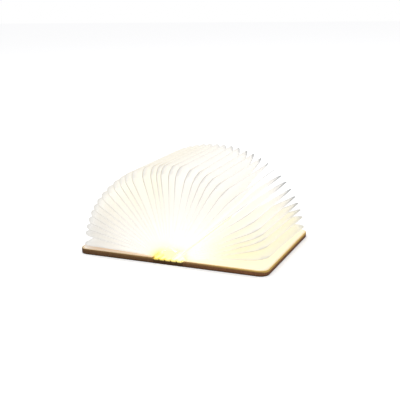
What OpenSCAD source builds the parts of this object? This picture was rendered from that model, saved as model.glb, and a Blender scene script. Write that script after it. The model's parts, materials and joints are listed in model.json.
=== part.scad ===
// Folding book lamp: two wooden covers on a slatted living-hinge spine, a fan of
// paper leaves between them, and a light bar that runs along the spine.
// Modelled open and lying flat. X runs across the open book, Y along the spine, Z up.
// The origin is under the middle of the spine, on the surface the covers rest on.

/* [Covers] */
// Length of the book along its spine
book_l = 122; // [100:1:160]
// Width of a cover, from its hinge line to its fore-edge
cover_w = 77.5; // [70:0.5:110]
// Thickness of the cover boards and of the spine slats
board_t = 5; // [4.4:0.1:5.2]
// Radius of the rounded corners at the fore-edge
cover_corner_r = 8; // [3:0.5:14]
// Thickness of the endpapers glued inside the covers
endpaper_t = 0.3; // [0.2:0.05:0.4]
// Margin of bare board round an endpaper
endpaper_margin = 2; // [1:0.5:4]
// Margin between an endpaper and the spine
endpaper_hinge_margin = 0.3; // [0.1:0.1:1]

/* [Spine] */
// Width of the centre slat, between its two hinge lines
centre_w = 5.8; // [5.6:0.1:7]
// Distance from one hinge line to the next
slat_pitch = 5.6; // [5.5:0.05:6.5]
// Width of the slot cut along each hinge line
slot_w = 1.15; // [1.1:0.05:1.6]
// Chamfer that opens each slot on both faces, so that the slats clear each other as the spine bends
groove_depth = 0.7; // [0.65:0.05:0.9]
// Length of a bridge left standing in a slot
bridge_l = 4; // [2:0.5:8]
// Thickness of a bridge
bridge_t = 1; // [0.6:0.1:1]
// Clearance at the split end of a bridge
bridge_gap = 0.3; // [0.25:0.05:0.4]

/* [Leaves] */
// Number of leaves on each side of the fan
leaves_per_side = 17; // [8, 11, 14, 17]
// Distance from the fore-edges to the tips of the leaves when the book is shut
leaf_inset = 0.7; // [0.3:0.1:8]
// Thickness of a leaf, two plies of paper folded at the fore-edge
leaf_t = 0.3; // [0.2:0.02:0.32]
// Radius of a leaf's corners at the fore-edge
leaf_corner_r = 9; // [2:0.5:12]
// Distance from the end of the book to the end of a leaf
page_inset = 2.5; // [1.5:0.5:8]
// Distance from one leaf to the next when the book is shut
leaf_pitch = 0.435; // [0.42:0.005:0.438]
// Clearance between the leaf roots and the light bar
page_gap = 0.36; // [0.2:0.02:0.6]

/* [Light bar] */
// Distance from the end of a leaf to the end of the light bar
bar_inset = 1.5; // [0:0.5:6]
// Outer radius of the round-bottomed housing
bar_r = 6.5; // [6.1:0.1:6.6]
// Wall of the housing and of the end caps' lips
bar_wall = 0.7; // [0.5:0.05:0.8]
// Width of the foot glued to the centre slat
bar_foot_w = 3; // [2.4:0.1:3.2]
// Height of the diffuser's crown above the housing's rim
diffuser_rise = 1.2; // [1.1:0.1:1.6]
// Wall of the diffuser
diffuser_t = 0.8; // [0.5:0.05:0.9]
// Thickness of an end cap
cap_t = 1.5; // [1:0.1:2.5]
// Number of light-emitting diodes in the row
led_count = 12; // [6:1:16]

/* [Electronics] */
// Width of the battery pouch
battery_w = 5.8; // [4:0.1:5.9]
// Thickness of the battery pouch
battery_t = 2.8; // [1.5:0.1:2.8]
// Room for the leads between the battery and the control board
lead_room = 10; // [4:1:30]
// Thickness of the diode board
led_board_t = 0.6; // [0.4:0.1:0.8]
// Size of the control board across and along
control_size = [6.8, 24];
// Thickness of the control board
control_t = 0.8; // [0.6:0.1:1]
// Size of the charging socket across, along and up
socket_size = [8.9, 7.3, 3.1];
// Wall of the charging socket's shell
socket_wall = 0.3; // [0.2:0.05:0.4]

/* [Magnets] */
// Diameter of a closing magnet
magnet_d = 8; // [4:0.5:10]
// Thickness of a closing magnet
magnet_t = 2; // [1:0.25:2.5]
// Distance between the two closing magnets of a cover
magnet_spread = 70; // [30:1:90]
// Distance of the closing magnets from the fore-edge
magnet_inset = 9; // [7:0.5:15]
// Diameter of the small magnet that works the hall switch
trigger_d = 4; // [3:0.5:5]
// Clearance round pieces pushed into pockets and slots
fit_gap = 0.1; // [0.05:0.01:0.15]

/* [Hidden] */
$fn = 64;
eps = 0.5;                                   // overrun of a cut past a face

// Spine
lines_per_side = 3;                          // hinge lines on each side of the centre slat
slats_per_side = lines_per_side - 1;
line_fold = 90 / lines_per_side;             // turn at each hinge line when the book is shut
hinge_z = board_t / 2;
bridge_count = 4;                            // bridges in a slot, one fewer in every other slot
function hinge_x(line) = centre_w / 2 + slat_pitch * (line - 1);
spine_half = hinge_x(lines_per_side);
cover_edge = spine_half + slot_w / 2;        // board edge beside the outermost slot
fore_edge = spine_half + cover_w;

// Light bar
bar_l = book_l - 2 * (page_inset + bar_inset);
housing_l = bar_l - 2 * cap_t;
bar_lift = 0.1;                              // daylight under the round belly, beside the foot
bar_axis_z = board_t + bar_lift + bar_r;
rim_drop = 0.6;                              // rim of the housing below the belly's centre
rim_z = bar_axis_z - rim_drop;
bar_in_r = bar_r - bar_wall;
rim_half = sqrt(pow(bar_in_r, 2) - pow(rim_drop, 2));
crown_z = rim_z + diffuser_rise;
dome_half = rim_half - fit_gap;
dome_r = (pow(dome_half, 2) + pow(diffuser_rise, 2)) / (2 * diffuser_rise);
leg_h = 0.4;                                 // diffuser's legs below the rim
cap_lip = 2;                                 // end cap's lip inside the housing
led_board_z = rim_z - 1.1;                   // seat of the diode board
ledge_t = 0.5;
ledge_w = 0.8;
led_board_w = 2 * (sqrt(pow(bar_in_r, 2) - pow(bar_axis_z - led_board_z, 2)) - fit_gap);
socket_top_gap = 0.5;                        // under the middle of the diffuser
socket_z = crown_z - diffuser_t - socket_top_gap - socket_size[2] / 2;
control_z = socket_z - socket_size[2] / 2 - control_t;
led_size = [2.8, 3.5, 0.5];
switch_size = [1.6, 2.9, 1.1];
board_end_gap = 2;                           // between boards, battery and lips
led_board_lo = -housing_l / 2 + cap_lip + fit_gap;
led_board_hi = bar_l / 2 - socket_size[1] - board_end_gap;
battery_lo = led_board_lo;
battery_z = led_board_z - fit_gap - battery_t;
control_hi = bar_l / 2 - cap_t;
battery_l = control_hi - control_size[1] - lead_room - battery_lo;
trigger_y = control_hi - control_size[1] + 6;

// Leaves. Shut, they stand side by side above the bar, leaf 1 next to its cover. Opening the spine
// carries each root out and round, and leans the leaf over by its own share of the quarter turn.
page_l = book_l - 2 * page_inset;
shut_root_z = crown_z + page_gap;
shut_fore_edge_z = hinge_z + cover_w + slat_pitch * sum_of([for (k = [1:slats_per_side]) sin(k * line_fold)]);
leaf_l = shut_fore_edge_z - leaf_inset - shut_root_z;
// The leaf that stands square on a slat of the spine, and turns with it
function square_leaf(line) = round(leaves_per_side * (lines_per_side - line) / lines_per_side);
fan = [for (line = [lines_per_side:-1:0])
    [line == 0 ? leaves_per_side + 0.5 : square_leaf(line), 90 - line * line_fold]];
function leaf_angle(i) = lookup(i, fan);
function sum_of(list, i = 0) = i == len(list) ? 0 : list[i] + sum_of(list, i + 1);
function turned(p, angle) = [p[0] * cos(angle) - p[1] * sin(angle), p[0] * sin(angle) + p[1] * cos(angle)];
// A hinge line's place in the shut spine
function shut_line(line) = [
    centre_w / 2 + slat_pitch * sum_of([for (k = [1:1:line - 1]) cos(k * line_fold)]),
    hinge_z + slat_pitch * sum_of([for (k = [1:1:line - 1]) sin(k * line_fold)])];
// Where a point that rides on a slat of the shut spine lies once the spine is flat
function unfold(p, slat) = slat == 0 ? p
    : [hinge_x(slat), hinge_z] + turned(p - shut_line(slat), -slat * line_fold);
function leaf_root(i) =
    let (shut = [leaf_pitch * (leaves_per_side + 0.5 - i), shut_root_z],
         turn = (90 - leaf_angle(i)) / line_fold,
         slat = min(floor(turn), lines_per_side - 1),
         share = turn - slat)
    (1 - share) * unfold(shut, slat) + share * unfold(shut, slat + 1);

// Colours
wood = [0.72, 0.55, 0.36];
burnt = [0.36, 0.24, 0.15];
paper = [0.96, 0.93, 0.86];
card = [0.9, 0.84, 0.74];
plastic = [0.93, 0.92, 0.9];
milky = [1, 0.93, 0.72];
metal = [0.75, 0.75, 0.77];
green = [0.1, 0.35, 0.2];
dark = [0.12, 0.12, 0.13];

// Names: the right side is +X, and numbers count from the spine outwards or from the cover up.
sides = ["left", "right"];
function side_of(name) = name == "left" ? -1 : 1;
function slat_name(side, line) = str("spine_slat_", side, "_", line);
function two_digits(i) = i < 10 ? str("0", i) : str(i);
function leaf_name(side, i) = str("leaf_", side, "_", two_digits(i));

// Mirrors its children to the named side of the spine
module on_side(side) {
    mirror([side_of(side) < 0 ? 1 : 0, 0, 0]) children();
}

// A flat outline from x0 to x1, centred on Y, with its two far corners rounded
module rounded_fore_edge(x0, x1, length, radius) {
    translate([x0, -length / 2]) square([x1 - radius - x0, length]);
    translate([x0, -length / 2 + radius]) square([x1 - x0, length - 2 * radius]);
    for (s = [-1, 1])
        translate([x1 - radius, s * (length / 2 - radius)]) circle(radius);
}

// Split bridges that cross the slot of one hinge line, staggered from line to line
module bridges(line) {
    count = bridge_count - (line % 2);
    span = book_l / count;
    for (i = [1:count])
        translate([hinge_x(line) - slot_w / 2 + bridge_gap,
                   (i - (count + 1) / 2) * span - bridge_l / 2,
                   hinge_z - bridge_t / 2])
            cube([slot_w - bridge_gap, bridge_l, bridge_t]);
}

// A slat between two stations in X, chamfered along the slots on both sides
module grooved_slat(x0, x1) {
    g = groove_depth;
    along_spine(-book_l / 2, book_l / 2)
        polygon([[x0 + g, 0], [x1 - g, 0], [x1, g], [x1, board_t - g],
                 [x1 - g, board_t], [x0 + g, board_t], [x0, board_t - g], [x0, g]]);
}

module slat(side, line) {
    color(burnt) on_side(side) {
        grooved_slat(hinge_x(line) + slot_w / 2, hinge_x(line + 1) - slot_w / 2);
        bridges(line);
    }
}

module centre_slat() {
    color(burnt) grooved_slat(-hinge_x(1) + slot_w / 2, hinge_x(1) - slot_w / 2);
}

// Centres of the closing magnets, right-hand side
module at_magnets() {
    for (s = [-1, 1])
        translate([fore_edge - magnet_inset, s * magnet_spread / 2, board_t - magnet_t])
            children();
}

// Centre of the trigger magnet, beside the hall switch when the book is shut
module at_trigger() {
    translate([cover_edge + endpaper_margin + trigger_d, trigger_y, board_t - magnet_t])
        children();
}

module pocket(diameter) {
    cylinder(d = diameter + 2 * fit_gap, h = magnet_t + eps);
}

// Cuts the chamfers along the edge of a cover beside the outermost slot
module hinge_grooves() {
    reach = groove_depth + eps;
    for (face = [0, 1])
        translate([cover_edge, 0, face * board_t]) mirror([0, 0, face])
            along_spine(-book_l / 2 - eps, book_l / 2 + eps)
                polygon([[-eps, -eps], [reach, -eps], [-eps, reach]]);
}

module cover(side) {
    color(wood) on_side(side) {
        difference() {
            linear_extrude(board_t)
                rounded_fore_edge(cover_edge, fore_edge, book_l, cover_corner_r);
            hinge_grooves();
            at_magnets() pocket(magnet_d);
            if (side == "right") at_trigger() pocket(trigger_d);
        }
        bridges(lines_per_side);
    }
}

module endpaper(side) {
    color(card) on_side(side) translate([0, 0, board_t])
        linear_extrude(endpaper_t)
            rounded_fore_edge(cover_edge + groove_depth + endpaper_hinge_margin, fore_edge - endpaper_margin,
                              book_l - 2 * endpaper_margin, cover_corner_r - endpaper_margin / 2);
}

module leaf(side, i) {
    root = leaf_root(i);
    color(paper) on_side(side)
        translate([root[0], 0, root[1]]) rotate([0, -leaf_angle(i), 0])
            translate([0, 0, -leaf_t / 2]) linear_extrude(leaf_t)
                rounded_fore_edge(0, leaf_l, page_l, leaf_corner_r);
}

// Lays a cross-section drawn in X and Z along Y, between two stations
module along_spine(y0, y1) {
    translate([0, y1, 0]) rotate([90, 0, 0]) linear_extrude(y1 - y0) children();
}

// The belly of the bar below its rim, at one radius
module belly(radius) {
    intersection() {
        translate([0, bar_axis_z]) circle(radius);
        translate([-bar_r, rim_z - 2 * bar_r]) square([2 * bar_r, 2 * bar_r]);
    }
}

module foot() {
    translate([-bar_foot_w / 2, board_t]) square([bar_foot_w, bar_wall + bar_lift]);
}

// The crown of the bar above its rim, at one distance inside the diffuser's skin
module crown(inset) {
    intersection() {
        translate([0, crown_z - dome_r]) circle(dome_r - inset, $fn = 180);
        translate([-dome_half + inset, rim_z - leg_h]) square([2 * (dome_half - inset), 2 * leg_h + diffuser_rise]);
    }
}

module housing() {
    color(plastic) along_spine(-housing_l / 2, housing_l / 2) {
        difference() {
            union() {
                belly(bar_r);
                foot();
            }
            belly(bar_in_r);
        }
        // Ledges that carry the diode board
        intersection() {
            belly(bar_r - bar_wall / 2);
            for (s = [-1, 1])
                translate([s * (led_board_w / 2 - ledge_w / 2 + bar_wall) - ledge_w, led_board_z - ledge_t])
                    square([2 * ledge_w, ledge_t]);
        }
    }
}

module diffuser() {
    color(milky) along_spine(-housing_l / 2, housing_l / 2)
        difference() {
            crown(0);
            crown(diffuser_t);
            translate([-dome_half + diffuser_t, rim_z - leg_h - eps])
                square([2 * (dome_half - diffuser_t), leg_h + eps]);
        }
}

// A cap at one end of the bar, drawn on the +Y end, with a lip inside the housing
module cap_plate() {
    along_spine(bar_l / 2 - cap_t, bar_l / 2) {
        belly(bar_r);
        foot();
        crown(0);
    }
}

module cap_lip_ring() {
    ring_t = 0.8;
    along_spine(bar_l / 2 - cap_t - cap_lip, bar_l / 2 - cap_t)
        difference() {
            belly(bar_in_r - fit_gap);
            belly(bar_in_r - fit_gap - ring_t);
            translate([-bar_r, control_z - fit_gap]) square([2 * bar_r, 2 * bar_r]);
        }
}

module end_cap_front() {
    color(plastic) mirror([0, 1, 0]) {
        cap_plate();
        cap_lip_ring();
    }
}

module socket_outline(grow) {
    width = socket_size[0] + 2 * grow;
    height = socket_size[2] + 2 * grow;
    straight = width - height;
    translate([-straight / 2, -height / 2]) square([straight, height]);
    for (s = [-1, 1]) translate([s * straight / 2, 0]) circle(height / 2);
}

module end_cap_rear() {
    color(plastic) difference() {
        union() {
            cap_plate();
            cap_lip_ring();
        }
        translate([0, bar_l / 2 + eps, socket_z]) rotate([90, 0, 0])
            linear_extrude(cap_t + 2 * eps) socket_outline(fit_gap);
    }
}

module usb_socket() {
    tongue = [6.2, 4.6, 0.7];
    color(metal) translate([0, bar_l / 2, socket_z]) rotate([90, 0, 0]) {
        difference() {
            linear_extrude(socket_size[1]) socket_outline(0);
            translate([0, 0, -eps])
                linear_extrude(socket_size[1] - socket_wall + eps) socket_outline(-socket_wall);
        }
        translate([-tongue[0] / 2, -tongue[2] / 2, socket_size[1] - tongue[1] - socket_wall])
            cube([tongue[0], tongue[2], tongue[1] + socket_wall]);
    }
}

module led_board() {
    color(green) translate([-led_board_w / 2, led_board_lo, led_board_z])
        cube([led_board_w, led_board_hi - led_board_lo, led_board_t]);
}

module led_chips() {
    run = (led_board_hi - led_board_lo) / led_count;
    color(milky) for (i = [1:led_count])
        translate([-led_size[0] / 2, led_board_lo + (i - 0.5) * run - led_size[1] / 2,
                   led_board_z + led_board_t])
            cube(led_size);
}

module battery() {
    flap_l = 1.2;
    flap_t = 0.4;
    color(metal) translate([-battery_w / 2, battery_lo, battery_z]) {
        cube([battery_w, battery_l, battery_t]);
        translate([flap_t, battery_l, (battery_t - flap_t) / 2]) cube([battery_w - 2 * flap_t, flap_l, flap_t]);
    }
}

module control_board() {
    color(green) translate([-control_size[0] / 2, control_hi - control_size[1], control_z])
        cube([control_size[0], control_size[1], control_t]);
}

module hall_switch() {
    color(dark) translate([-switch_size[0] / 2, trigger_y - switch_size[1] / 2, control_z + control_t])
        cube(switch_size);
}

module closing_magnets(side) {
    color(metal) on_side(side) at_magnets() cylinder(d = magnet_d, h = magnet_t);
}

module trigger_magnet() {
    color(metal) at_trigger() cylinder(d = trigger_d, h = magnet_t);
}

for (side = sides) {
    cover(side);
    endpaper(side);
    closing_magnets(side);
    for (line = [1:slats_per_side])
        slat(side, line);
    for (i = [1:leaves_per_side])
        leaf(side, i);
}
centre_slat();  // spine_centre_slat
housing();  // bar_housing
diffuser();  // bar_diffuser
end_cap_front();
end_cap_rear();
led_board();
led_chips();
battery();
control_board();
hall_switch();
usb_socket();
trigger_magnet();
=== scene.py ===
import bpy
import bmesh
import json
import math
from mathutils import Matrix, Vector

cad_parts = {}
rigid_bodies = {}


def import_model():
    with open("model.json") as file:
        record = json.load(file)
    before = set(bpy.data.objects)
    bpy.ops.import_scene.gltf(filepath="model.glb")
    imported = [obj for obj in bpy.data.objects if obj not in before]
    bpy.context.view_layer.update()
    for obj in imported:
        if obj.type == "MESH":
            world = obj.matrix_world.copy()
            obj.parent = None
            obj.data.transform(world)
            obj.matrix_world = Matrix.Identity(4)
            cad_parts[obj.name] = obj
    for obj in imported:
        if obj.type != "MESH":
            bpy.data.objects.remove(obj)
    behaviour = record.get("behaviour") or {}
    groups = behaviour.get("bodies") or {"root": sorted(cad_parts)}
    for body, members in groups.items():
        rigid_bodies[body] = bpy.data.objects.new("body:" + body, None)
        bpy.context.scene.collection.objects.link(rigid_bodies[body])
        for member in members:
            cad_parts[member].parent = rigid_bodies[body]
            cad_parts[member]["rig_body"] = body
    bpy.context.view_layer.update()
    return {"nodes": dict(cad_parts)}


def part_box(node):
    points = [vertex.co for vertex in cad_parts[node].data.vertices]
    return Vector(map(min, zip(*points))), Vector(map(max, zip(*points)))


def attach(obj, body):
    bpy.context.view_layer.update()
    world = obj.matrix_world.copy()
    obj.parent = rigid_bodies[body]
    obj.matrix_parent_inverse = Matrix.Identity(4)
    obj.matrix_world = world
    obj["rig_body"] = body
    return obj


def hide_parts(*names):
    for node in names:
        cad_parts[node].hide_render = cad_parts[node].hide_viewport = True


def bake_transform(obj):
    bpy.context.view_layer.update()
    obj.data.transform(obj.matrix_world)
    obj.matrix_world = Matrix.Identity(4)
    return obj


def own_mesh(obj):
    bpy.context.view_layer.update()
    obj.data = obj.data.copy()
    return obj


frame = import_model()
nodes = frame["nodes"]
mm = 0.001
hair = 0.01 * mm        # places closer than this count as the same
print("stage: frame loaded")


def addNode(tree, kind, settings=None, **inputs):
    # in0, in1 and so on name an input by its number
    made = tree.nodes.new(kind)
    for key, value in (settings or {}).items():
        setattr(made, key, value)
    for key, value in inputs.items():
        key = int(key[2:]) if key.startswith("in") and key[2:].isdigit() else key
        if isinstance(value, bpy.types.NodeSocket):
            tree.links.new(value, made.inputs[key])
        else:
            made.inputs[key].default_value = value
    return made


def calc(tree, operation, first, *others, clamp=False):
    # works through the values from left to right
    for other in others or (0.0,):
        first = addNode(tree, "ShaderNodeMath", {"operation": operation, "use_clamp": clamp},
                        in0=first, in1=other).outputs[0]
    return first


def mapped(tree, value, low, high, outLow=0.0, outHigh=1.0, smooth=True):
    made = addNode(tree, "ShaderNodeMapRange", {"interpolation_type": "SMOOTHSTEP" if smooth else "LINEAR"},
                   Value=value)
    for index, number in enumerate((low, high, outLow, outHigh), 1):
        made.inputs[index].default_value = number
    return made.outputs[0]


def shadeBy(tree, shades, **distances):
    # the named shades multiplied, each read from its own distance
    masks = [mapped(tree, distance, *shades[name]) for name, distance in distances.items()]
    return calc(tree, "MULTIPLY", *masks) if len(masks) > 1 else masks[0]


def mixColor(tree, factor, a, b):
    made = addNode(tree, "ShaderNodeMix", {"data_type": "RGBA"})
    for index, value in ((0, factor), (6, a), (7, b)):
        if isinstance(value, bpy.types.NodeSocket):
            tree.links.new(value, made.inputs[index])
        else:
            made.inputs[index].default_value = value if index == 0 else (*value, 1.0)
    return made.outputs[2]


def newMaterial(name, color, roughness, **sockets):
    made = bpy.data.materials.new(name)
    made.use_nodes = True
    shader = made.node_tree.nodes["Principled BSDF"]
    shader.inputs["Base Color"].default_value = (*color, 1.0)
    shader.inputs["Roughness"].default_value = roughness
    for key, value in sockets.items():
        shader.inputs[key.replace("_", " ")].default_value = value
    return made, made.node_tree, shader


def objectPlace(tree, scale=(1, 1, 1)):
    place = addNode(tree, "ShaderNodeTexCoord").outputs["Object"]
    return addNode(tree, "ShaderNodeMapping", Vector=place, Scale=scale).outputs[0]


def objectAxes(tree):
    # X, Y and Z on the lamp, in millimetres
    return addNode(tree, "ShaderNodeSeparateXYZ", Vector=objectPlace(tree, (1 / mm, 1 / mm, 1 / mm))).outputs


def noiseAt(tree, place, size, detail=3.0, roughness=0.55, distortion=0.0):
    return addNode(tree, "ShaderNodeTexNoise", Vector=place, Scale=1 / size, Detail=detail,
                   Roughness=roughness, Distortion=distortion).outputs[0]


def addBump(tree, shader, height, distance, strength):
    bump = addNode(tree, "ShaderNodeBump", Height=height, Distance=distance, Strength=strength)
    tree.links.new(bump.outputs[0], shader.inputs["Normal"])


def makePiece(bm, name, materials, sharpAngle=None):
    mesh = bpy.data.meshes.new(name)
    bm.to_mesh(mesh)
    bm.free()
    for material in materials:
        mesh.materials.append(material)
    if sharpAngle is not None:
        mesh.shade_smooth()
        mesh.set_sharp_from_angle(angle=math.radians(sharpAngle))
    piece = bpy.data.objects.new(name, mesh)
    bpy.context.scene.collection.objects.link(piece)
    return piece


def cutAcross(bm, place, normal, clearOuter=False):
    bmesh.ops.bisect_plane(bm, geom=bm.verts[:] + bm.edges[:] + bm.faces[:],
                           plane_co=place, plane_no=normal, clear_outer=clearOuter)


def onlyVerts(geometry):
    return [item for item in geometry if isinstance(item, bmesh.types.BMVert)]


paper = {
    "plyThickness": 0.12 * mm,      # one ply of the folded sheet
    "foldRadius": 0.15 * mm,        # inside of the fold at the fore-edge
    "foldBevel": 0.98,              # just short of 1, so that the two rounded edges of the fold don't meet
    "cornerRadius": 11 * mm,
    "cornerCuts": 7,                # straight cuts that round off one corner
    "lengthCuts": 18,               # strips between the root and the fold, so that the sheet can bend
    "widthCuts": (-0.97, -0.75, -0.5, -0.25, 0, 0.25, 0.5, 0.75, 0.97),     # shares of half the width
    "sharpAngle": 60,
    # the tables below run from the right cover (0 degrees) over the top to the left cover (180)
    # degrees that a leaf leans over
    "lean": {0: -0.9, 5: -0.9, 10: 0.7, 30: 1.1, 48: -1.0, 60: -1.5, 76: 0.6, 88: 0.8, 104: 0.9, 120: 1.8,
             132: 2.0, 150: 0.9, 168: 1.0, 172: 1.0, 175: 4.0, 180: 4.0},
    "leanPower": 1.7,
    # degrees added at the front end of a leaf
    "twist": {0: 2.7, 5: 2.7, 10: 2.4, 15: 1.6, 20: -0.4, 25: -1.8, 30: -2.0, 36: -2.2, 42: -2.0, 48: 0,
              60: 0.8, 65: -0.5, 69: -1.2, 74: -2.6, 78.5: -1.8, 83: 0, 88: 0, 92.3: 0.6, 96.9: -1.6,
              101.5: -2.6, 106: -1.5, 110.8: 2.4, 115.4: 2.4, 120: 2.1, 126: 1.0, 132: 1.0, 138: 1.2,
              144: 0.8, 150: 0, 180: 0},
    # millimetres that a leaf bows up between its root and its fore-edge, at its far end
    "arch": {0: 0.5, 8: -0.5, 15: -2.5, 24: -2.5, 30: -0.5, 36: 3, 42: 5, 48: 4, 60: 1.2, 75: 0.2, 90: 0,
             130: -0.4, 180: -0.9},
    # millimetres that the far end of a leaf reaches further out than its front end
    "flareOut": {0: 0.3, 10: 0.7, 30: 1.3, 50: 1.4, 65: 1.3, 76: 0.8, 82: 0.1, 88: 0, 180: 0},
    # a slight wave, which differs from leaf to leaf
    "sway": 0.45 * mm, "swayAlong": 1.3, "swayAcross": 4, "swayAcrossShare": 0.5, "swayVariety": 12.9,
    "openingPower": 1.4,            # how soon the plies come together on the way to the fold
    "leastOpening": 0.1 * mm,
    "closedShare": 0.04,            # how much of its thickness and bow a leaf keeps in the shut book
    "roughness": 0.75, "cloudSize": 7 * mm, "fibreSize": 0.5 * mm, "fibreShare": 0.4,
    "reliefDepth": 0.25 * mm, "reliefStrength": 0.35,
    "body": (0.93, 0.91, 0.88), "cloud": (0.9, 0.88, 0.84), "shaded": (0.78, 0.765, 0.74),
    "tip": (0.42, 0.43, 0.43), "rim": (0.72, 0.67, 0.58),
    "glowLeft": (0.93, 0.92, 0.87), "glowRight": (1.0, 0.99, 0.97), "glowLow": (1.0, 0.93, 0.55),
    "glowRoot": (1.0, 0.88, 0.25), "glowShoulder": (0.98, 0.93, 0.74),
    "glow": 0.2, "rootGain": 0.12, "rootGainPower": 3.0, "rootColorPower": 14.0,
    "shadeHold": 0.85,              # how much of the glow a full streak or line takes away
    # where a shade starts and ends, in millimetres, and how strong it is at those two places
    # Root, Fold, Front, Rear and Outline are distances on the sheet, X and Z are places on the lamp
    "shades": {
        # painted shade: the far left leaves greyer
        "leftX": (-85, -40, 0.65, 0),
        # painted shade: soft line along the cut outline
        "rimOutline": (0.1, 1.4, 1, 0), "rimRoot": (42, 70, 0, 0.5), "rimFront": (14, 30, 1, 0.25),
        "rimZ": (15, 50, 0.5, 1), "rimX": (-55, -20, 0.45, 1),
        # painted shade: grey streak along the fold of the right-hand leaves
        "foldRear": (12, 55, 1, 0), "foldLowZ": (10, 50, 0.1, 1), "foldX": (50, 62, 0, 1),
        "foldHighZ": (60, 70, 1, 0.6), "foldOutline": (1.4, 5.2, 1, 0),
        # painted shade: grey streak along their far end
        "endRear": (6, 16, 1, 0), "endNearX": (-5, 25, 0, 1), "endZ": (45, 60, 0, 1),
        "endFold": (8, 20, 1, 0), "endFarX": (20, 50, 0.35, 1), "endOutline": (0.8, 4.2, 1, 0),
        # painted shade: softer streak along the fold of the left-hand leaves
        "leftFold": (0, 6, 1, 0), "leftFoldX": (-70, -20, 0.3, 0.05),
        # light of the lamp through the paper
        "nearRoot": (0, 70, 1, 0), "glowX": (-90, 90, 0, 1), "lowX": (10, 70, 0, 1),
        "lowZ": (8, 50, 1, 0), "shoulderX": (-20, 15, 1, 0), "shoulderZ": (20, 70, 0, 1),
        # light through the cut edges near the root, so that they hardly show as lines there
        "edgeOutline": (0.06, 0.25, 1, 0), "edgeRoot": (35, 62, 1, 0), "edgeX": (-30, 10, 0.1, 0.22),
        # this one reads the noise
        "cloud": (0.35, 0.75, 0, 0.5),
    },
}


def leafPlace(nodeName):
    # root of a leaf, its direction in degrees and its length, read from its plain plate
    plate = nodes[nodeName].data
    normal = max(plate.polygons, key=lambda face: face.area).normal
    out = Vector((normal.z, 0, -normal.x))
    if out.z < 0:
        out.negate()
    reach = [vert.co.dot(out) for vert in plate.vertices]
    inner = [vert.co for vert, along in zip(plate.vertices, reach) if along < min(reach) + hair]
    root = sum(inner, Vector()) / len(inner)
    root.y = 0
    return root, math.degrees(math.atan2(out.z, out.x)), max(reach) - min(reach)


leafCount = sum(name.startswith("leaf_right_") for name in nodes)
leafLength = leafPlace("leaf_right_01")[2]
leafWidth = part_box("leaf_right_01")[1].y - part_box("leaf_right_01")[0].y


def between(table, value):
    keys = sorted(table)
    for low, high in zip(keys, keys[1:]):
        if value <= high:
            return table[low] + (table[high] - table[low]) * (value - low) / (high - low)
    return table[keys[-1]]


def fromOutline(tree, along, across):
    # distance on the sheet from its cut outline with the rounded corners, in millimetres
    radius = paper["cornerRadius"] / mm
    overX = calc(tree, "SUBTRACT", along, leafLength / mm - radius)
    overY = calc(tree, "SUBTRACT", calc(tree, "ABSOLUTE", across), leafWidth / mm / 2 - radius)
    outX, outY = calc(tree, "MAXIMUM", overX, 0), calc(tree, "MAXIMUM", overY, 0)
    squares = calc(tree, "ADD", calc(tree, "MULTIPLY", outX, outX), calc(tree, "MULTIPLY", outY, outY))
    inner = calc(tree, "MINIMUM", calc(tree, "MAXIMUM", overX, overY), 0)
    return calc(tree, "SUBTRACT", radius, calc(tree, "ADD", calc(tree, "SQRT", squares), inner))


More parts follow.
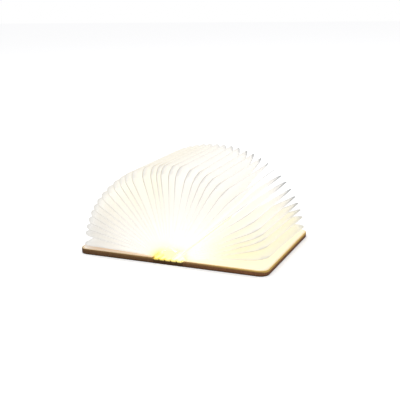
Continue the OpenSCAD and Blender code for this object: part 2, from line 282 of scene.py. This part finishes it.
def makeLeafPaper():
    made, tree, shader = newMaterial("leafPaper", paper["body"], paper["roughness"])
    flat = addNode(tree, "ShaderNodeUVMap", {"uv_map": "flatSheet"}).outputs[0]
    root, across = addNode(tree, "ShaderNodeSeparateXYZ", Vector=flat).outputs[:2]
    fold = calc(tree, "SUBTRACT", leafLength / mm, root)
    front = calc(tree, "ADD", across, leafWidth / mm / 2)
    rear = calc(tree, "SUBTRACT", leafWidth / mm / 2, across)
    outline = fromOutline(tree, root, across)
    x, _, z = objectAxes(tree)
    shades, place = paper["shades"], objectPlace(tree)
    cloud = noiseAt(tree, place, paper["cloudSize"], detail=4, roughness=0.6, distortion=0.6)
    fibre = noiseAt(tree, place, paper["fibreSize"], detail=3, roughness=0.6, distortion=2.5)
    # painted shade: grey streaks along the folds and far ends of the leaves
    tip = calc(tree, "MAXIMUM",
               shadeBy(tree, shades, foldRear=rear, foldLowZ=z, foldX=x, foldHighZ=z, foldOutline=outline),
               shadeBy(tree, shades, endRear=rear, endNearX=x, endZ=z, endFold=fold, endFarX=x,
                       endOutline=outline),
               shadeBy(tree, shades, leftFold=fold, leftFoldX=x))
    # painted shade: soft lines along the cut outline of each leaf
    rim = shadeBy(tree, shades, rimOutline=outline, rimRoot=root, rimFront=front, rimZ=z, rimX=x)
    body = mixColor(tree, shadeBy(tree, shades, cloud=cloud), paper["body"], paper["cloud"])
    body = mixColor(tree, shadeBy(tree, shades, leftX=x), body, paper["shaded"])
    body = mixColor(tree, tip, body, paper["tip"])
    body = mixColor(tree, rim, body, paper["rim"])
    tree.links.new(body, shader.inputs["Base Color"])

    nearRoot = mapped(tree, root, *shades["nearRoot"], smooth=False)
    leftToRight = mapped(tree, x, *shades["glowX"], smooth=False)
    glow = mixColor(tree, leftToRight, paper["glowLeft"], paper["glowRight"])
    glow = mixColor(tree, shadeBy(tree, shades, lowX=x, lowZ=z), glow, paper["glowLow"])
    glow = mixColor(tree, shadeBy(tree, shades, shoulderX=x, shoulderZ=z), glow, paper["glowShoulder"])
    glow = mixColor(tree, calc(tree, "POWER", nearRoot, paper["rootColorPower"]), glow, paper["glowRoot"])
    tree.links.new(glow, shader.inputs["Emission Color"])
    strength = calc(tree, "MULTIPLY", calc(tree, "POWER", nearRoot, paper["rootGainPower"]), paper["rootGain"])
    strength = calc(tree, "ADD", strength, paper["glow"],
                    shadeBy(tree, shades, edgeOutline=outline, edgeRoot=root, edgeX=x))
    for darker in (tip, rim):
        held = calc(tree, "SUBTRACT", 1.0, calc(tree, "MULTIPLY", darker, paper["shadeHold"]))
        strength = calc(tree, "MULTIPLY", strength, held)
    tree.links.new(strength, shader.inputs["Emission Strength"])
    relief = calc(tree, "ADD", cloud, calc(tree, "MULTIPLY", fibre, paper["fibreShare"]))
    addBump(tree, shader, relief, paper["reliefDepth"], paper["reliefStrength"])
    made.cycles.emission_sampling = "NONE"      # too faint to be treated as a lamp
    return made


leafPaper = makeLeafPaper()


def makeFlatSheet():
    # a hairpin in cross-section, folded at the fore-edge, with its corners rounded off
    length, half = leafLength, leafWidth / 2
    radius, fold = paper["cornerRadius"], paper["foldRadius"]
    sheet = bmesh.new()
    outline = [sheet.verts.new(spot) for spot in ((0, -half, fold), (length, -half, fold),
                                                  (length, -half, -fold), (0, -half, -fold))]
    for first, second in zip(outline, outline[1:]):
        sheet.edges.new((first, second))
    swept = bmesh.ops.extrude_edge_only(sheet, edges=sheet.edges[:])["geom"]
    bmesh.ops.translate(sheet, verts=onlyVerts(swept), vec=(0, 2 * half, 0))
    folds = [e for e in sheet.edges if all(v.co.x > length - mm for v in e.verts)
             and abs(e.verts[0].co.y - e.verts[1].co.y) > mm]
    bmesh.ops.bevel(sheet, geom=folds, offset=fold * paper["foldBevel"], segments=3, profile=0.5,
                    affect="EDGES", material=-1)
    for step in range(1, paper["lengthCuts"]):
        cutAcross(sheet, (length * step / paper["lengthCuts"], 0, 0), (1, 0, 0))
    for share in paper["widthCuts"]:
        cutAcross(sheet, (0, share * half, 0), (0, 1, 0))
    for side in (-1, 1):
        for step in range(paper["cornerCuts"]):
            turn = math.radians(90 * (step + 0.5) / paper["cornerCuts"])
            away = Vector((math.sin(turn), side * math.cos(turn), 0))
            centre = Vector((length - radius, side * (half - radius), 0))
            cutAcross(sheet, centre + away * radius, away, clearOuter=True)
    bmesh.ops.recalc_face_normals(sheet, faces=sheet.faces[:])
    flat = sheet.loops.layers.uv.new("flatSheet")
    for face in sheet.faces:
        for loop in face.loops:
            loop[flat].uv = (loop.vert.co.x / mm, loop.vert.co.y / mm)
    mesh = bpy.data.meshes.new("flatSheet")
    sheet.to_mesh(mesh)
    sheet.free()
    return mesh


flatMesh = makeFlatSheet()


def makeLeaf(nodeName, root, turn, flare):
    # turn is 0 where a leaf lies on the right cover and 180 on the left one
    bm = bmesh.new()
    bm.from_mesh(flatMesh)
    lean, twist = [math.radians(between(paper[name], turn)) for name in ("lean", "twist")]
    arch, flareOut = [between(paper[name], turn) * mm for name in ("arch", "flareOut")]
    sway = math.sin(turn * paper["swayVariety"]) * paper["sway"]
    for vert in bm.verts:
        share = vert.co.x / leafLength
        front = 0.5 - vert.co.y / leafWidth
        opening = max(0.0, 1 - share) ** paper["openingPower"]
        ply = 1 if vert.co.z >= 0 else -1
        vert.co.x += flareOut * share * (1 - front)
        vert.co.z += ply * flare * opening
        vert.co.z += (lean + twist * front) * leafLength * share ** paper["leanPower"]
        vert.co.z += arch * math.sin(math.pi * share) * (1 - front)
        across = 1 + paper["swayAcrossShare"] * math.sin(vert.co.y / leafWidth * paper["swayAcross"] + turn)
        vert.co.z += sway * math.sin(math.pi * share * paper["swayAlong"]) * across
    spin = Matrix.Rotation(-math.radians(turn), 4, "Y")
    bmesh.ops.transform(bm, matrix=Matrix.Translation(root) @ spin, verts=bm.verts[:])
    piece = makePiece(bm, "sheet_" + nodeName, [leafPaper], paper["sharpAngle"])
    wall = piece.modifiers.new("ply", "SOLIDIFY")
    wall.thickness = paper["plyThickness"]
    wall.offset = 0
    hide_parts(nodeName)
    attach(piece, nodes[nodeName]["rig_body"])
    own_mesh(piece)


def gapBetween(one, other):
    # distance between two neighbouring roots, square to the leaves
    middle = math.radians((one[1] + other[1]) / 2)
    return abs((other[0] - one[0]).dot(Vector((-math.sin(middle), 0, math.cos(middle)))))


# leaves in their order round the ring, from the right cover to the left one
order = ["leaf_right_%02d" % (index + 1) for index in range(leafCount)]
order += ["leaf_left_%02d" % (leafCount - index) for index in range(leafCount)]
places = [leafPlace(name) for name in order]
gaps = [gapBetween(one, other) for one, other in zip(places, places[1:])]
for index, name in enumerate(order):
    room = min(gaps[max(0, index - 1):index + 1]) / 2
    flare = max(paper["leastOpening"], room - paper["foldRadius"] - paper["plyThickness"] / 2)
    makeLeaf(name, *places[index][:2], flare)
print("stage: leaves", len(order))


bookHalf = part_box("cover_right")[1].y
wood = {
    "light": (0.86, 0.69, 0.43), "dark": (0.74, 0.55, 0.32), "drift": (0.78, 0.6, 0.36),
    "pore": (0.42, 0.28, 0.15),
    "burnt": (0.17, 0.085, 0.038), "burntRight": (0.26, 0.112, 0.05), "burntLight": (0.42, 0.24, 0.09),
    "soot": (0.08, 0.042, 0.02), "charred": (0.06, 0.032, 0.014), "gold": (0.68, 0.45, 0.12),
    "litFace": ((0.88, 0.72, 0.1), (1.0, 0.95, 0.5)), "litEdge": ((0.85, 0.7, 0.1), (1.0, 0.9, 0.3)),
    "litDeep": ((1.0, 0.86, 0.26), (1.0, 0.97, 0.72)), "litMiddle": (1.0, 0.99, 0.93),
    "faceLightZ": (4.7, 4.95), "faceSpill": 0.25,       # how much light falls on the open covers
    "edgeLightZ": (3.0, 4.5), "edgeSpill": 0,
    "waveSize": 2.6 * mm, "poreSize": 0.35 * mm, "driftSize": 30 * mm, "streakSize": 0.8 * mm,
    "waveStretch": (1, 0.045, 1), "poreStretch": (1, 0.03, 1), "streakStretch": (1, 1, 0.25),
    "roughness": 0.5, "grainDepth": 0.12 * mm,
    "edgeRoughness": 0.7, "edgeGloss": 0.08, "edgeDepth": 0.1 * mm, "reliefStrength": 0.5,
    "arris": 0.45 * mm, "arrisAngle": 40, "sharpAngle": 30,
    "cornerRadius": 8 * mm,
    "flatFace": 0.98,                               # a face that lies flatter than this stays pale
    "wallFrom": 1.5 * mm, "wallTo": 0.1 * mm,       # depths between which a slot's wall is measured
    # shades as on a leaf, where Side is the distance from the middle of the spine,
    # and End the distance from the nearer end of the book
    "shades": {
        "rightX": (0, 60, 0, 1),
        # painted shade, darkest at the left corner, along the foot and over the spine
        "charredX": (-91, -78, 0.6, 0), "charredZ": (0.4, 1.8, 0.75, 0), "charredSide": (13, 16, 0.8, 0),
        # painted highlight along the top of the cut edges, stronger towards the right
        "upperX": (-90, 10, 0.2, 0.8), "upperZ": (2.8, 5, 0, 1),
        # painted highlight of the lamp along the upper arris of the right-hand cover and its corner
        "goldX": (20, 70, 0, 1), "goldZ": (3.7, 4.8, 0, 1),
        "cornerX": (86, 91, 0, 1), "cornerZ": (2.6, 4.5, 0, 1),
        # light of the bar
        "faceEnd": (0.12, 0.22, 1, 0), "wallEnd": (0.3, 1.2, 0, 1.1), "wallZ": (1.6, 3.2, 0, 1),
        "deepEnd": (1.5, 6, 0, 1), "middleEnd": (10, 25, 0, 1), "spillX": (-60, 60, 0, 1),
        "ringSide": (13.6, 15.4, 1, 0), "deepSide": (14.6, 17, 1, 0),
        "tintX": (-13, 12, 0, 1), "deepTintX": (-14, 8, 0, 1),
        # these read the noise
        "wave": (0.36, 0.66, 0, 1), "drift": (0.35, 0.7, 0, 0.3), "pore": (0.56, 0.72, 0, 0.35),
        "waveRoughness": (0.3, 0.7, 0.42, 0.58), "streak": (0.35, 0.7, 0.5, 0),
    },
}


def woodShade(tree, **distances):
    return shadeBy(tree, wood["shades"], **distances)


def lampLight(tree, shader, lightZ, spill, colors, onEnds):
    # light of the bar on the wood inside the ring of leaf roots, fading outwards over the open covers
    x, y, z = objectAxes(tree)
    side = calc(tree, "ABSOLUTE", x)
    end = calc(tree, "SUBTRACT", bookHalf / mm, calc(tree, "ABSOLUTE", y))
    inside = mapped(tree, z, *lightZ)
    if onEnds:
        inside = calc(tree, "MULTIPLY", inside, woodShade(tree, faceEnd=end))
        inside = calc(tree, "MAXIMUM", inside, woodShade(tree, wallEnd=end, wallZ=z))
    deep = woodShade(tree, deepEnd=end)
    ring = calc(tree, "MAXIMUM", woodShade(tree, ringSide=side),
                calc(tree, "MULTIPLY", woodShade(tree, deepSide=side), deep),
                calc(tree, "MULTIPLY", woodShade(tree, spillX=x), spill))
    color = mixColor(tree, woodShade(tree, tintX=x), *colors)
    color = mixColor(tree, deep, color, mixColor(tree, woodShade(tree, deepTintX=x), *wood["litDeep"]))
    color = mixColor(tree, woodShade(tree, middleEnd=end), color, wood["litMiddle"])
    tree.links.new(color, shader.inputs["Emission Color"])
    tree.links.new(calc(tree, "MULTIPLY", inside, ring), shader.inputs["Emission Strength"])


def makeWoodFace():
    made, tree, shader = newMaterial("paleWood", wood["light"], wood["roughness"])
    waves = noiseAt(tree, objectPlace(tree, wood["waveStretch"]), wood["waveSize"],
                    detail=5, roughness=0.62, distortion=0.35)
    pores = noiseAt(tree, objectPlace(tree, wood["poreStretch"]), wood["poreSize"], roughness=0.6)
    drift = noiseAt(tree, objectPlace(tree), wood["driftSize"], detail=2)
    tone = mixColor(tree, woodShade(tree, wave=waves), wood["light"], wood["dark"])
    tone = mixColor(tree, woodShade(tree, drift=drift), tone, wood["drift"])
    tone = mixColor(tree, woodShade(tree, pore=pores), tone, wood["pore"])
    tree.links.new(tone, shader.inputs["Base Color"])
    tree.links.new(woodShade(tree, waveRoughness=waves), shader.inputs["Roughness"])
    addBump(tree, shader, calc(tree, "ADD", waves, pores), wood["grainDepth"], wood["reliefStrength"])
    lampLight(tree, shader, wood["faceLightZ"], wood["faceSpill"], wood["litFace"], onEnds=False)
    return made


def makeWoodEdge():
    made, tree, shader = newMaterial("laserCutEdge", wood["burnt"], wood["edgeRoughness"],
                                     Specular_IOR_Level=wood["edgeGloss"])
    streaks = noiseAt(tree, objectPlace(tree, wood["streakStretch"]), wood["streakSize"],
                      detail=4, roughness=0.65)
    x, _, z = objectAxes(tree)
    tone = mixColor(tree, woodShade(tree, rightX=x), wood["burnt"], wood["burntRight"])
    tone = mixColor(tree, woodShade(tree, streak=streaks), tone, wood["soot"])
    # painted shade at the left corner, along the foot and over the spine
    charred = calc(tree, "MAXIMUM", woodShade(tree, charredX=x), woodShade(tree, charredZ=z),
                   woodShade(tree, charredSide=calc(tree, "ABSOLUTE", x)))
    tone = mixColor(tree, charred, tone, wood["charred"])
    # painted highlight: the upper part of each cut edge lighter, more so towards the right
    tone = mixColor(tree, woodShade(tree, upperZ=z, upperX=x), tone, wood["burntLight"])
    # painted highlight: the right-hand cover catches more of the lamp's light along its upper arris
    lit = calc(tree, "ADD", woodShade(tree, goldX=x, goldZ=z),
               woodShade(tree, cornerX=x, cornerZ=z), clamp=True)
    tone = mixColor(tree, lit, tone, wood["gold"])
    tree.links.new(tone, shader.inputs["Base Color"])
    addBump(tree, shader, streaks, wood["edgeDepth"], wood["reliefStrength"])
    lampLight(tree, shader, wood["edgeLightZ"], wood["edgeSpill"], wood["litEdge"], onEnds=True)
    return made


paleWood, laserCutEdge = makeWoodFace(), makeWoodEdge()


def reachBetween(name, low, high):
    # where a wooden node starts and ends along X, between two heights
    across = [vert.co.x for vert in nodes[name].data.vertices if low <= vert.co.z <= high]
    return min(across), max(across)


def woodProfile(name):
    # cross-section of a board or slat without its split bridges, chamfered beside each slot
    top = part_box(name)[1].z
    face = reachBetween(name, top - hair, top)
    wall = reachBetween(name, top - wood["wallFrom"], top - wood["wallTo"])
    outline = []
    for end, way in ((0, -1), (1, 1)):
        groove = way * (wall[end] - face[end])
        side = [(face[end], 0), (face[end], top)]
        if groove > 0:
            side = [(face[end], 0), (wall[end], groove), (wall[end], top - groove), (face[end], top)]
        outline += side[::way]
    return outline


def alongSpine(outline, half):
    bm = bmesh.new()
    ring = [bm.verts.new((x, -half, z)) for x, z in outline]
    cap = bm.faces.new(ring)
    swept = bmesh.ops.extrude_face_region(bm, geom=[cap])["geom"]
    bmesh.ops.translate(bm, verts=onlyVerts(swept), vec=(0, 2 * half, 0))
    bmesh.ops.recalc_face_normals(bm, faces=bm.faces[:])
    return bm


def makeWood(bm, name, arris):
    # softens the arrises and burns every side that was cut
    sharp = [e for e in bm.edges if len(e.link_faces) == 2
             and e.calc_face_angle() > math.radians(wood["arrisAngle"])]
    bmesh.ops.bevel(bm, geom=sharp, offset=arris, segments=2, profile=0.5, affect="EDGES", material=-1)
    bm.normal_update()
    for face in bm.faces:
        face.material_index = 0 if abs(face.normal.z) > wood["flatFace"] else 1
    return makePiece(bm, name, [paleWood, laserCutEdge], wood["sharpAngle"])


for side in ("left", "right"):
    name = "cover_" + side
    bm = alongSpine(woodProfile(name), bookHalf)
    outer = max(abs(corner.x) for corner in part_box(name))
    upright = [e for e in bm.edges if abs(e.verts[0].co.z - e.verts[1].co.z) > hair
               and abs(abs(e.verts[0].co.x) - outer) < hair]
    bmesh.ops.bevel(bm, geom=upright, offset=wood["cornerRadius"], segments=10, profile=0.5,
                    affect="EDGES", material=-1)
    board = makeWood(bm, "board_" + side, wood["arris"])
    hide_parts(name)
    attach(board, name)
print("stage: covers")


spine = {
    "arris": 0.18 * mm,
    "websAcross": (3, 4, 3),            # webs left standing in each slot, from the centre slat outwards
    "webLength": 4 * mm, "endWebLength": 3 * mm,
    "endRecess": 0.25 * mm,             # how far the end webs stand back from the ends of the spine
    "webLow": 0.5 * mm, "webHigh": 4.1 * mm, "footHigh": 0.65 * mm,
    "webLap": 0.3 * mm,                 # how much wider than its slot a web is
    "webCuts": (0.25, 0.5, 0.75),       # where a web can bend, as shares of the slot
}
for name in sorted(n for n in nodes if n.startswith("spine_")):
    bm = alongSpine(woodProfile(name), bookHalf)
    slat = makeWood(bm, "wood_" + name, spine["arris"])
    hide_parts(name)
    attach(slat, nodes[name]["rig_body"])


def webStations(line):
    # middle and length along Y of every web in a slot; the last two stand at its ends
    count = spine["websAcross"][line]
    stations = [((web - (count - 1) / 2) * 2 * bookHalf / count, spine["webLength"]) for web in range(count)]
    reach = bookHalf - spine["endRecess"] - spine["endWebLength"] / 2
    return stations + [(-reach, spine["endWebLength"]), (reach, spine["endWebLength"])]


def addBlock(bm, size, middle):
    block = bmesh.ops.create_cube(bm, size=1)["verts"]
    bmesh.ops.scale(bm, vec=size, verts=block)
    bmesh.ops.translate(bm, vec=middle, verts=block)


for side in ("left", "right"):
    sign = -1 if side == "left" else 1
    row = ["spine_centre_slat", "spine_slat_%s_1" % side, "spine_slat_%s_2" % side, "cover_" + side]
    for line, (inner, outer) in enumerate(zip(row, row[1:])):
        walls = [woodProfile(name) for name in (inner, outer)]
        start = max(sign * x for x, z in walls[0]) * sign
        end = min(sign * x for x, z in walls[1]) * sign
        footStart, footEnd = sorted((max(sign * x for x, z in walls[0] if z == 0) * sign,
                                     min(sign * x for x, z in walls[1] if z == 0) * sign))
        low, high, foot = spine["webLow"], spine["webHigh"], spine["footHigh"]
        bm = bmesh.new()
        for y, length in webStations(line):
            addBlock(bm, (abs(end - start) + spine["webLap"], length, high - low),
                     ((start + end) / 2, y, (high + low) / 2))
        for y, length in webStations(line)[-2:]:
            addBlock(bm, (footEnd - footStart, length, foot), ((footStart + footEnd) / 2, y, foot / 2))
        for share in spine["webCuts"]:
            cutAcross(bm, (start + (end - start) * share, 0, 0), (1, 0, 0))
        webs = makePiece(bm, "webs_%s_%d" % (side, line + 1), [laserCutEdge], wood["sharpAngle"])
        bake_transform(webs)
print("stage: spine")


speckle = {"dark": 0.82, "shades": {"grain": (0.3, 0.7, 0, 0.3)}, "reliefStrength": 0.4}


def plainMaterial(name, color, roughness, grain, depth, **sockets):
    made, tree, shader = newMaterial(name, color, roughness, **sockets)
    noise = noiseAt(tree, objectPlace(tree), grain)
    darker = tuple(speckle["dark"] * part for part in color)
    tone = mixColor(tree, shadeBy(tree, speckle["shades"], grain=noise), color, darker)
    tree.links.new(tone, shader.inputs["Base Color"])
    addBump(tree, shader, noise, depth, speckle["reliefStrength"])
    return made, tree, shader, tone


card = {
    "color": (0.92, 0.78, 0.65), "rightColor": (0.93, 0.92, 0.84), "leftEndColor": (0.93, 0.92, 0.91),
    "glowLeft": (1.0, 0.78, 0.56), "glowRight": (1.0, 0.93, 0.7),
    "roughness": 0.7, "grain": 0.6 * mm, "depth": 0.05 * mm,
    # shades as on a leaf
    "shades": {"glowX": (-60, 40, 0.12, 0.3), "tintX": (-20, 30, 0, 1),
               "rightX": (-20, 30, 0, 0.6), "leftEndX": (-90, -72, 0.8, 0)},
}


def makeEndpaperCard():
    made, tree, shader, tone = plainMaterial("endpaperCard", card["color"], card["roughness"],
                                             card["grain"], card["depth"])
    x, shades = objectAxes(tree)[0], card["shades"]
    tree.links.new(shadeBy(tree, shades, glowX=x), shader.inputs["Emission Strength"])
    tree.links.new(mixColor(tree, shadeBy(tree, shades, tintX=x), card["glowLeft"], card["glowRight"]),
                   shader.inputs["Emission Color"])
    # painted light: the right endpaper paler and yellower where the lamp lights it
    tone = mixColor(tree, shadeBy(tree, shades, rightX=x), tone, card["rightColor"])
    tone = mixColor(tree, shadeBy(tree, shades, leftEndX=x), tone, card["leftEndColor"])
    tree.links.new(tone, shader.inputs["Base Color"])
    return made


# colour, roughness, grain and depth of the grain, then any shader sockets
finishes = {
    # painted light: the bar's housing and end caps glow yellow
    "milkyShell": ((0.95, 0.9, 0.72), 0.4, 1.2 * mm, 0.03 * mm,
                   {"Emission_Color": (1.0, 0.84, 0.16, 1.0), "Emission_Strength": 0.75}),
    "litDiffuser": ((1.0, 0.92, 0.7), 0.35, 1.5 * mm, 0.02 * mm,
                    {"Emission_Color": (1.0, 0.86, 0.4, 1.0), "Emission_Strength": 6.0}),
    "litChips": ((1.0, 0.85, 0.4), 0.3, 0.5 * mm, 0.02 * mm,
                 {"Emission_Color": (1.0, 0.85, 0.45, 1.0), "Emission_Strength": 6.0}),
    "boardWhite": ((0.85, 0.87, 0.85), 0.45, 0.8 * mm, 0.02 * mm, {}),
    "foilPouch": ((0.72, 0.73, 0.75), 0.35, 1.0 * mm, 0.05 * mm, {"Metallic": 0.9}),
    "blackCase": ((0.03, 0.03, 0.035), 0.5, 0.4 * mm, 0.02 * mm, {}),
    "stampedSteel": ((0.62, 0.62, 0.64), 0.3, 0.7 * mm, 0.02 * mm, {"Metallic": 1.0}),
    "nickel": ((0.66, 0.65, 0.63), 0.22, 0.5 * mm, 0.01 * mm, {"Metallic": 1.0}),
}
paints = {name: plainMaterial(name, *look, **sockets)[0] for name, (*look, sockets) in finishes.items()}
paints["endpaperCard"] = makeEndpaperCard()
wornBy = {
    "endpaperCard": ("endpaper_left", "endpaper_right"),
    "milkyShell": ("bar_housing", "end_cap_front", "end_cap_rear"),
    "litDiffuser": ("bar_diffuser",),
    "litChips": ("led_chips",),
    "boardWhite": ("led_board", "control_board"),
    "foilPouch": ("battery",),
    "blackCase": ("hall_switch",),
    "stampedSteel": ("usb_socket",),
    "nickel": ("closing_magnets_left", "closing_magnets_right", "trigger_magnet"),
}
for finish, names in wornBy.items():
    for name in names:
        nodes[name].data.materials.clear()
        nodes[name].data.materials.append(paints[finish])
print("stage: light bar")


studio = {"floorSize": 8.0, "floorColor": (0.86, 0.86, 0.87), "floorRoughness": 0.9, "floorLift": 0.345,
          "sky": 0.72, "keyPower": 9.0, "keySize": 1.4, "keyPlace": (-0.5, 0.3, 1.6),
          "keyTarget": (0, 0, 0.03)}
white = (1, 1, 1, 1)


def seenPlainly(tree):
    # 1 where the camera looks, straight on, in a reflection or through glass
    seen = addNode(tree, "ShaderNodeLightPath").outputs
    return calc(tree, "MAXIMUM", seen["Is Camera Ray"], seen["Is Glossy Ray"], seen["Is Transmission Ray"])


def aim(place, target):
    return (Vector(target) - Vector(place)).to_track_quat("-Z", "Y")


floorShape = bmesh.new()
bmesh.ops.create_grid(floorShape, x_segments=1, y_segments=1, size=studio["floorSize"] / 2)
floorPaint, tree, shader = newMaterial("floorPaint", studio["floorColor"], studio["floorRoughness"],
                                       Specular_IOR_Level=0.0, Emission_Color=white)
tree.links.new(calc(tree, "MULTIPLY", seenPlainly(tree), studio["floorLift"]),
               shader.inputs["Emission Strength"])
floor = makePiece(floorShape, "floor", [floorPaint])

world = bpy.data.worlds.new("studio")
bpy.context.scene.world = world
world.use_nodes = True
tree = world.node_tree
background = tree.nodes["Background"]
background.inputs["Color"].default_value = white
tree.links.new(calc(tree, "ADD", studio["sky"], calc(tree, "MULTIPLY", seenPlainly(tree), 1 - studio["sky"])),
               background.inputs["Strength"])

key = bpy.data.lights.new("keyLight", "AREA")
key.energy = studio["keyPower"]
key.size = studio["keySize"]
keyLight = bpy.data.objects.new("keyLight", key)
keyLight.location = studio["keyPlace"]
keyLight.rotation_euler = aim(studio["keyPlace"], studio["keyTarget"]).to_euler()
bpy.context.scene.collection.objects.link(keyLight)

shot = {"place": (0.293, -0.637, 0.2375), "target": (-0.006, 0.025, 0.036), "roll": -1.59,
        "lens": 70.2, "sensor": 36, "clip": (0.01, 50)}
lens = bpy.data.cameras.new("camera")
lens.lens = shot["lens"]
lens.sensor_width = shot["sensor"]
lens.clip_start, lens.clip_end = shot["clip"]
camera = bpy.data.objects.new("camera", lens)
gaze = aim(shot["place"], shot["target"]).to_matrix().to_4x4()
roll = Matrix.Rotation(math.radians(shot["roll"]), 4, "Z")
camera.matrix_world = Matrix.Translation(shot["place"]) @ gaze @ roll
bpy.context.scene.collection.objects.link(camera)
bpy.context.scene.camera = camera
bpy.context.scene.view_settings.view_transform = "Standard"
print("stage: studio")
